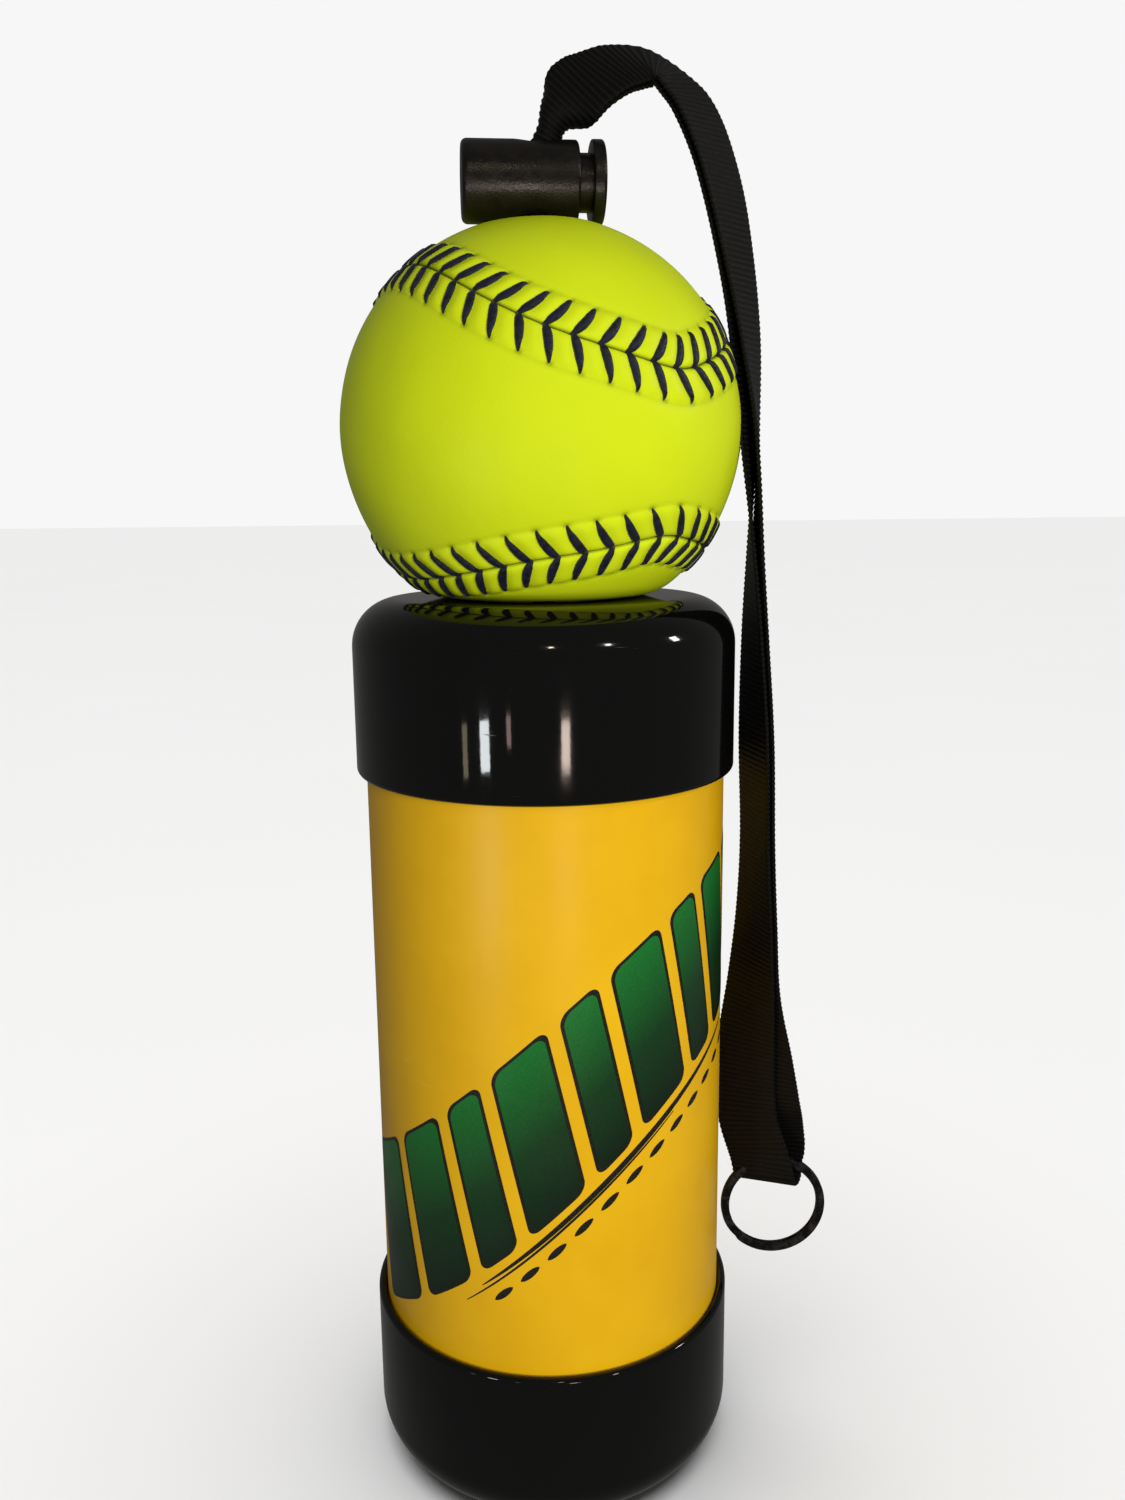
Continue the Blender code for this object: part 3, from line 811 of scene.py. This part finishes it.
def build_print():
    """A generic graphic: leaning green bars that climb round the tube, over three brush lines."""
    black, green = 0, 1
    shapes = []
    left = -0.0500
    for width in (0.0165, *(0.0125, 0.0085) * 4):
        shapes.append((black, print_bar(left, width, 0.0, 0.00005)))
        shapes.append((green, print_bar(left, width, 0.0007, 0.00009)))
        left += width + 0.0026
    shapes.append((black, print_line(-0.0160, 0.0560, 0.0030, 0.0011, 0.00005)))
    shapes.append((black, print_line(-0.0200, 0.0300, 0.0044, 0.0004, 0.00006)))
    dash, step = 0.0042, 0.0060
    for k in range(12):
        begin = -0.0130 + k * step
        shapes.append((black, print_line(begin, begin + dash, 0.0085, 0.0013, 0.00005, 10)))
    points, rises, faces, slots = [], [], [], []
    for slot, (own_points, own_rises, own_faces) in shapes:
        first = len(points)
        points += own_points
        rises += own_rises
        faces += [tuple(first + i for i in face) for face in own_faces]
        slots += [slot] * len(own_faces)
    decal = add_mesh("tube_print", points, faces, [LOOKS["print_black"], LOOKS["print_green"]], slots)
    add_numbers(decal, "rise", rises)
    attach(decal, "canister")


# The ball


def seam_direction(t):
    """The unit direction of the ball's one seam, t running from 0 to four pi."""
    polar = math.pi / 2 - (math.pi / 2 - SEAM_SHAPE) * math.cos(t)
    around = t / 2 + SEAM_SHAPE * math.sin(2 * t)
    flat = Vector((math.cos(around), math.sin(around), 0)) * math.sin(polar)
    direction = flat + Vector((0, 0, math.cos(polar)))
    direction.rotate(SEAM_TURN)
    return direction


class Seam:
    """The seam, sampled evenly, with the direction along it and to one side at each sample."""

    def __init__(self):
        fine = 6000
        directions = [seam_direction(4 * math.pi * k / fine) for k in range(fine + 1)]
        runs = np.zeros(fine + 1)
        for k in range(fine):
            runs[k + 1] = runs[k] + (directions[k + 1] - directions[k]).length * BALL_RADIUS
        self.stitches = round(runs[-1] / STITCH_PITCH)
        self.pitch = runs[-1] / self.stitches
        self.count = self.stitches * PER_STITCH
        even = np.linspace(0, runs[-1], self.count, endpoint=False)
        params = np.interp(even, runs, np.linspace(0, 4 * math.pi, fine + 1))
        self.place = np.array([seam_direction(t) for t in params])
        ahead = np.roll(self.place, -1, 0) - np.roll(self.place, 1, 0)
        self.along = ahead / np.linalg.norm(ahead, axis=1)[:, None]
        self.beside = np.cross(self.place, self.along)

    def at(self, column, across):
        """The unit direction at a distance across from the seam, at a whole or part column."""
        whole = math.floor(column)
        share = column - whole
        a, b = whole % self.count, (whole + 1) % self.count
        place = self.place[a] * (1 - share) + self.place[b] * share
        beside = self.beside[a] * (1 - share) + self.beside[b] * share
        turn = across / BALL_RADIUS
        direction = place * math.cos(turn) + beside * math.sin(turn)
        return direction / np.linalg.norm(direction)


def stitch_lean(across):
    """How far forward of its vertex a stitch is, at a distance from the seam."""
    share = np.clip(np.abs(across) / STITCH_REACH, 0, 1.2)
    return STITCH_LEAN * share**0.72


def leather_relief(across, phase, pitch):
    """Height of the leather over the ball's sphere near the seam, phase in stitches."""
    far = np.abs(across) / MM
    beside = (phase - stitch_lean(across) / pitch + 0.5) % 1.0 - 0.5
    pillow = 0.5 - 0.5 * np.cos(math.tau * beside)
    window = np.clip(far / 1.5, 0, 1) ** 0.7 * (1 - np.clip((far - 5.2) / 2.2, 0, 1) ** 1.5)
    raised = 0.12 * (1 - np.clip((far - 5.8) / 1.6, 0, 1))
    groove = 0.62 * np.exp(-((far / 0.42) ** 2))
    hole = 0.45 * np.exp(-(((far - 6.8) / 0.55) ** 2) - (beside * pitch / MM / 0.55) ** 2)
    crease = 0.10 * np.exp(-(((far - 7.3) / 0.5) ** 2))
    return (0.50 * pillow * window + raised - groove - hole - crease) * MM


def press_ball(points):
    """The ball's points, sunk softly onto the cap below and flattened by the lock above."""
    made = points.copy()
    above = made[:, 2] - BALL_REST
    bulge = 1 + 0.012 * np.exp(-(((above - 0.006) / 0.007) ** 2))
    made[:, :2] *= bulge[:, None]
    made[:, 2] = smooth_max(made[:, 2], BALL_REST, BALL_PRESS_ROUND)
    made[:, 2] = -smooth_max(-made[:, 2], -BALL_TOP, BALL_TOP_ROUND)
    return made


def ball_points(directions, heights):
    swell = np.array([noise.noise(Vector(d) * 3.1) for d in directions]) * 0.00016
    spread = BALL_RADIUS + heights + swell
    return press_ball(directions * spread[:, None] + np.array(BALL_CENTRE))


def panel_pole(seam, side):
    """The unit direction to the middle of the panel on one side of the seam."""
    pole = Vector((0, 0, 1))
    pole.rotate(SEAM_TURN)
    nearest = int(np.argmax(seam.place @ np.array(pole)))
    return -pole if np.dot(seam.beside[nearest], pole) * side < 0 else pole


def inside_panel(seam, side, tree, direction, clear):
    """True on that side of the seam, further from it than clear."""
    _, near, gap = tree.find(direction)
    return gap > clear and np.dot(seam.beside[near], direction) * side > 0


def panel_directions(seam, side, tree):
    """Even directions over a panel inside its seam strip, with rings at the ends of the bore."""
    spacing = 1.25 * MM
    total = round(4 * math.pi * BALL_RADIUS**2 / (spacing**2 * 0.87))
    golden = math.pi * (3 - math.sqrt(5))
    clear = (STRIP_ROWS[-1] + spacing * 0.6) / BALL_RADIUS
    bore = BALL_BORE / BALL_RADIUS
    kept = []
    for k in range(total):
        z = 1 - (2 * k + 1) / total
        ring = math.sqrt(1 - z * z)
        direction = Vector((ring * math.cos(golden * k), ring * math.sin(golden * k), z))
        if inside_panel(seam, side, tree, direction, clear):
            kept.append(direction)
    kept = [d for d in kept if abs(math.acos(abs(d.z)) - bore) > 0.012]
    for end in (1, -1):
        up = Vector((0, 0, end * math.cos(bore)))
        angles = [math.tau * k / 48 for k in range(48)]
        circle = [Vector((math.cos(a), math.sin(a), 0)) * math.sin(bore) + up for a in angles]
        if inside_panel(seam, side, tree, circle[0], clear + bore):
            kept += circle
    return kept


def panel_inside(seam, side, rim, tree):
    """A panel's directions inside its seam strip, joined to the strip's rim as triangles."""
    pole = panel_pole(seam, side)
    east = pole.orthogonal().normalized()
    north = pole.cross(east)
    kept = panel_directions(seam, side, tree)
    directions = [Vector(d) for d in rim] + kept
    flat = [Vector((d.dot(east), d.dot(north))) / (1 + d.dot(pole)) for d in directions]
    loop = list(range(len(rim)))
    area = sum(flat[i].cross(flat[(i + 1) % len(rim)]) for i in loop)
    made = delaunay_2d_cdt(flat, [], [loop if area > 0 else loop[::-1]], 1, 1e-7)
    origins = [own[0] for own in made[3]]
    faces = [tuple(origins[i] for i in face) for face in made[2]]
    return kept, faces


def build_panel(name, seam, side, tree, node):
    """One leather panel: a fine strip along the seam, turned down at its edge, and its middle."""
    rows, columns = len(STRIP_ROWS), seam.count
    turn = STRIP_ROWS / BALL_RADIUS
    directions, heights, painted_crease_shade = [], [], []
    phase = np.arange(columns) / PER_STITCH
    for i in range(rows):
        strip = seam.place * math.cos(turn[i]) + side * seam.beside * math.sin(turn[i])
        height = leather_relief(np.full(columns, STRIP_ROWS[i]), phase, seam.pitch)
        if i == 0:
            height = height - 0.9 * MM
        directions.append(strip / np.linalg.norm(strip, axis=1)[:, None])
        heights.append(height)
        # Painted shade: the deeper the leather sinks below the sphere, the darker its material paints it.
        painted_crease_shade.append(np.clip(-height / (0.55 * MM), 0, 1))
    inner, inner_faces = panel_inside(seam, side, directions[-1], tree)
    directions.append(np.array(inner))
    heights.append(np.zeros(len(inner)))
    painted_crease_shade.append(np.zeros(len(inner)))
    directions = np.concatenate(directions)
    points = ball_points(directions, np.concatenate(heights))
    faces = grid_faces(rows, columns, closed_columns=True, flip=side < 0)
    first = (rows - 1) * columns
    faces += [tuple(first + i for i in face) for face in inner_faces]
    bore = math.sin(BALL_BORE / BALL_RADIUS) - 1e-4
    off_axis = np.hypot(directions[:, 0], directions[:, 1])
    faces = [face for face in faces if sum(off_axis[i] for i in face) / len(face) > bore]
    panel = add_mesh(name, points, faces, [LOOKS["leather"]])
    add_numbers(panel, "fold", np.concatenate(painted_crease_shade))
    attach(panel, "ball")
    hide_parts(node)
    return panel


def build_stitches(seam):
    """Each stitch is two flat threads in a V that lean along the seam to their holes."""
    chooser = random.Random(4)
    steps, sides = 14, 10
    shares = np.linspace(0, 1, steps)
    lift = np.interp(shares, [0, 0.12, 0.3, 0.85, 0.94, 1], [0.1, 0.3, 0.32, 0.3, 0.0, -0.7]) * MM
    width = np.interp(shares, [0, 0.12, 0.32, 0.65, 0.88, 1], [0.32, 0.80, 0.98, 0.86, 0.5, 0.28]) * MM
    height = np.interp(shares, [0, 0.12, 0.35, 0.7, 0.9, 1], [0.2, 0.36, 0.46, 0.46, 0.4, 0.3]) * MM
    points, faces, twists = [], [], []
    for stitch in range(seam.stitches):
        for side in (1, -1):
            across = (-0.1 + (STITCH_REACH / MM + 0.25) * shares) * MM
            jitter = chooser.uniform(-0.12, 0.12) * MM
            nub = 0.55 * MM * (1 - shares) ** 3
            lean = stitch_lean(np.maximum(across, 0)) + jitter * shares - nub
            column = stitch * PER_STITCH + lean / seam.pitch * PER_STITCH
            directions = np.array([seam.at(c, side * a) for c, a in zip(column, across)])
            phase = column / PER_STITCH
            relief = leather_relief(np.minimum(across, STITCH_REACH * 0.9), phase, seam.pitch)
            path = ball_points(directions, np.maximum(relief, -0.25 * MM) + lift)
            normals = [Vector(d) for d in directions]
            faces += rod_faces(steps, sides, len(points))
            points += tube_rings([Vector(p) for p in path], width, height, normals, sides)
            for share in shares:
                twists += [share * 5 + j / sides * side for j in range(sides)]
    thread = add_mesh("ball_stitches", points, faces, [LOOKS["thread"]])
    add_numbers(thread, "twist", twists)
    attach(thread, "ball")
    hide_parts("ball_seam_thread")


def build_ball():
    seam = Seam()
    tree = kdtree.KDTree(seam.count)
    for k, place in enumerate(seam.place):
        tree.insert(Vector(place), k)
    tree.balance()
    for side in (1, -1):
        name = "front" if panel_pole(seam, side).y < 0 else "back"
        build_panel("ball_leather_" + name, seam, side, tree, "ball_cover_" + name)
    build_stitches(seam)


# The cord lock


def on_lock(x):
    """The place at x along the lock's own axis."""
    return LOCK_PIVOT + Matrix.Rotation(LOCK_TURN, 3, "Z") @ Vector((x - LOCK_PIVOT.x, 0, 0))


def lay_on_lock(piece, x):
    piece.location = on_lock(x)
    piece.rotation_euler = (0, math.pi / 2, LOCK_TURN)


def cross_cutter(name, x, radius, mouth):
    """A cutter for the hole across the lock, flared at both ends."""
    reach = LOCK_RADIUS * 1.3
    flare = arc(radius + mouth, LOCK_RADIUS - mouth * 1.4, mouth, 180, 115, 5)
    top = [(0, reach), (radius + mouth, reach), *reversed(flare)] if mouth else [(0, reach), (radius, reach)]
    profile = top + [(r, -z) for r, z in reversed(top)]
    cutter = lathe(name, profile, None, 64)
    cutter.location = on_lock(x)
    return cutter


def build_barrel():
    length = LOCK_RIGHT - LOCK_LEFT
    edge = LOCK_RADIUS - LOCK_EDGE
    lip = 0.0005
    profile = [(LOCK_CAVITY, length - lip), (LOCK_CAVITY + lip, length)]
    profile += arc(edge + LOCK_EDGE / 2, length - LOCK_EDGE / 2, LOCK_EDGE / 2, 90, 0, 5)
    profile += arc(edge, LOCK_EDGE, LOCK_EDGE, 0, -90, 8)
    profile += [(0.0030, 0), (0.0026, 0.0004), (0, 0.0004), (0, LOCK_WALL), (LOCK_CAVITY, LOCK_WALL)]
    barrel = lathe("lock_barrel_shell", profile, LOOKS["lock"], 96)
    lay_on_lock(barrel, LOCK_LEFT)
    cut(barrel, [cross_cutter("barrel_hole", LOCK_HOLE_X, LOCK_HOLE, 0.0010)])
    sharpen(barrel, 32)
    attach(barrel, "cord_lock")
    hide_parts("lock_barrel")
    return barrel


def build_plunger():
    """The button with its stem. Its hole and the barrel's line up when it is pressed."""
    hole_x = LOCK_HOLE_X + LOCK_TRAVEL
    stem_end = hole_x - STEM_HOLE - STEM_WALL
    stem = LOCK_RIGHT + LOCK_END_GAP - stem_end
    rim = 0.0007
    profile = [(0, stem + FLANGE - 0.0003), (0.0052, stem + FLANGE - 0.0003), (0.0058, stem + FLANGE)]
    profile += arc(FLANGE_RADIUS - rim, stem + FLANGE - rim, rim, 90, 0, 5)
    profile += arc(FLANGE_RADIUS - 0.0004, stem + 0.0004, 0.0004, 0, -90, 3)
    profile += [(STEM_RADIUS, stem), (STEM_RADIUS, 0.0004), (STEM_RADIUS - 0.0004, 0), (0, 0)]
    plunger = lathe("lock_plunger_shell", profile, LOOKS["lock"], 96)
    lay_on_lock(plunger, stem_end)
    cut(plunger, [cross_cutter("plunger_hole", hole_x, STEM_HOLE, 0.0)])
    sharpen(plunger, 32)
    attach(plunger, "lock_button")
    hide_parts("lock_plunger")
    return plunger


def build_spring():
    """The coil behind the plunger, its end turns closed."""
    wire, coil, turns, per_turn = 0.00045, 0.0042, 6, 28
    gap = 0.0003
    first = LOCK_LEFT + LOCK_WALL + gap + wire
    last = LOCK_HOLE_X + LOCK_TRAVEL - STEM_HOLE - STEM_WALL - gap - wire
    lay = Matrix.Translation(LOCK_PIVOT) @ Matrix.Rotation(LOCK_TURN, 4, "Z")
    path, normals = [], []
    for k in range(turns * per_turn + 1):
        turn = k / per_turn
        x = np.interp(turn, [0, 1, turns - 1, turns], [first, first + 2 * wire, last - 2 * wire, last])
        a = math.tau * turn
        outward = Vector((0, math.cos(a), math.sin(a)))
        path.append(lay @ (Vector((float(x) - LOCK_PIVOT.x, 0, 0)) + outward * coil))
        normals.append(lay.to_3x3() @ outward)
    sizes = [wire] * len(path)
    sides = 10
    points = tube_rings(path, sizes, sizes, normals, sides)
    spring = add_mesh("lock_spring_coil", points, rod_faces(len(path), sides), [LOOKS["zinc"]])
    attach(spring, "cord_lock")
    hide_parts("lock_spring")
    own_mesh(spring)


# What the CAD already shows well enough, in its own finish


def dress_inner_pieces():
    foam = look_inner("foam_core", (0.55, 0.52, 0.40), (0.72, 0.70, 0.58), 0.9, 900, 0.0004)
    nylon = look_inner("nylon_sleeve", (0.62, 0.62, 0.56), (0.75, 0.75, 0.70), 0.45, 300, 0.00003)
    rubber = look_inner("rubber_bush", (0.02, 0.02, 0.02), (0.045, 0.045, 0.045), 0.75, 700, 0.00005)
    inner_webbing = look_inner(
        "webbing_inner", (0.010, 0.0095, 0.009), (0.032, 0.030, 0.028), 0.75, 1600, 0.0003
    )
    finishes = {
        "ball_core": foam,
        "ball_sleeve": nylon,
        "cap_bush": rubber,
        "anchor_washer": LOOKS["zinc"],
        "anchor_bar": LOOKS["zinc"],
        "anchor_loop": inner_webbing,
        "inner_strap": inner_webbing,
    }
    for node, finish in finishes.items():
        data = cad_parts[node].data
        data.materials.clear()
        data.materials.append(finish)


# Floor and light


def look_floor():
    look = Look("floor_pale", (0.9, 0.9, 0.9), 0.6)
    look.colour(look.ramp(look.noise(3, 2), (0.3, 0.895), (0.7, 0.905)))
    look.bump((look.noise(300, 2), 0.0001, 0.1))
    return look.material


def build_floor():
    """A pale floor that the camera sees, and that sends no light back to the object."""
    half = 12.0
    points = [(x, y, -0.0002) for x, y in ((-half, -half), (half, -half), (half, half), (-half, half))]
    floor = add_mesh("floor", points, [(0, 1, 2, 3)], [look_floor()])
    floor.visible_glossy = False
    floor.visible_diffuse = False
    return floor


def reach(name, pieces):
    """The pieces that a light falls on, as a collection for its light linking."""
    lit = bpy.data.collections.new(name)
    for piece in pieces:
        lit.objects.link(piece)
    return lit


def area_light(lit, name, bearing, height, distance, wide, tall, power, colour=(1, 1, 1), target=AIM_HEIGHT):
    """A soft box at a bearing from the front towards +X, in degrees, aimed at the axis."""
    data = bpy.data.lights.new(name, "AREA")
    data.shape = "RECTANGLE"
    data.size = wide
    data.size_y = tall
    data.energy = power
    data.color = colour
    light = add_object(name, data)
    a = math.radians(bearing)
    light.location = (distance * math.sin(a), -distance * math.cos(a), height)
    aim = Vector((0, 0, target)) - light.location
    light.rotation_euler = aim.to_track_quat("-Z", "Y").to_euler()
    light.visible_camera = False
    light.light_linking.receiver_collection = lit
    return light


def make_world():
    """White to the camera, and a dim even fill to everything else."""
    world = bpy.data.worlds.new("studio")
    world.use_nodes = True
    nodes, links = world.node_tree.nodes, world.node_tree.links
    fill = nodes["Background"]
    fill.inputs["Color"].default_value = (1, 0.98, 0.95, 1)
    fill.inputs["Strength"].default_value = WORLD_FILL
    seen = nodes.new("ShaderNodeBackground")
    seen.inputs["Color"].default_value = (1, 1, 1, 1)
    seen.inputs["Strength"].default_value = BACKDROP
    pick = nodes.new("ShaderNodeMixShader")
    links.new(nodes.new("ShaderNodeLightPath").outputs["Is Camera Ray"], pick.inputs["Fac"])
    links.new(fill.outputs["Background"], pick.inputs[1])
    links.new(seen.outputs["Background"], pick.inputs[2])
    links.new(pick.outputs["Shader"], nodes["World Output"].inputs["Surface"])
    bpy.context.scene.world = world


def make_lights(floor, lock):
    """A broad key at the front right, the narrow lights that the glossy caps reflect, two from
    behind, a glow for the cord lock, and a sun that only the floor sees."""
    pieces = [o for o in bpy.context.scene.objects if o.type == "MESH" and o != floor]
    lit = reach("object_reach", pieces)
    area_light(lit, "key", 18, 0.29, 1.0, 0.55, 0.5, 8.8).visible_glossy = False
    area_light(lit, "right_strip", 11, 0.080, 0.5, 0.040, 0.05, 0.15, (1, 0.80, 0.70))
    area_light(lit, "middle_strip", -20, 0.095, 0.5, 0.020, 0.03, 0.012, (1, 0.72, 0.66))
    area_light(lit, "left_strip", -33.5, 0.080, 0.5, 0.045, 0.05, 0.19, (0.93, 0.98, 1))
    area_light(lit, "far_left_strip", -45, 0.075, 0.5, 0.025, 0.05, 0.016, (1, 0.86, 0.62))
    area_light(lit, "side_lamp", 86, 0.60, 0.9, 0.08, 0.12, 1.2, (1, 0.97, 0.92))
    area_light(lit, "front_lamp", 4, 0.75, 0.9, 0.035, 0.035, 0.4, (1, 0.85, 0.6))
    area_light(lit, "right_lamp", 40, 0.75, 0.9, 0.05, 0.06, 0.7, (1, 0.96, 0.88))
    for name, bearing in (("back_right", 145), ("back_left", -150)):
        area_light(lit, name, bearing, 0.6, 1.1, 0.7, 0.7, 5).visible_glossy = False
    lock_reach = reach("lock_reach", lock)
    area_light(lock_reach, "lock_glow", 0, 0.08, 0.45, 0.5, 0.03, 0.6, (1, 0.84, 0.70), 0.29)

    sun = bpy.data.lights.new("floor_wash", "SUN")
    sun.energy = 2.9
    sun.angle = math.radians(70)
    wash = add_object("floor_wash", sun)
    wash.light_linking.receiver_collection = reach("floor_reach", [floor])
    make_world()
    bpy.context.scene.view_settings.view_transform = "Standard"


make_camera()
LOOKS = {
    "cap": look_cap(),
    "tube": look_tube(),
    "print_green": look_print_green(),
    "print_black": look_print_black(),
    "leather": look_leather(),
    "thread": look_thread(),
    "webbing": look_webbing(),
    "lock": look_lock(),
    "ring": look_ring(),
    "zinc": look_inner("steel_zinc", (0.45, 0.45, 0.46), (0.66, 0.66, 0.68), 0.33, 500, 0.00002, 1.0),
}
strap, strap_line, strap_length = build_strap()
ring = build_ring()
build_caps()
build_tube()
build_print()
build_ball()
lock = [build_barrel(), build_plunger()]
build_spring()
dress_inner_pieces()
make_lights(build_floor(), lock)
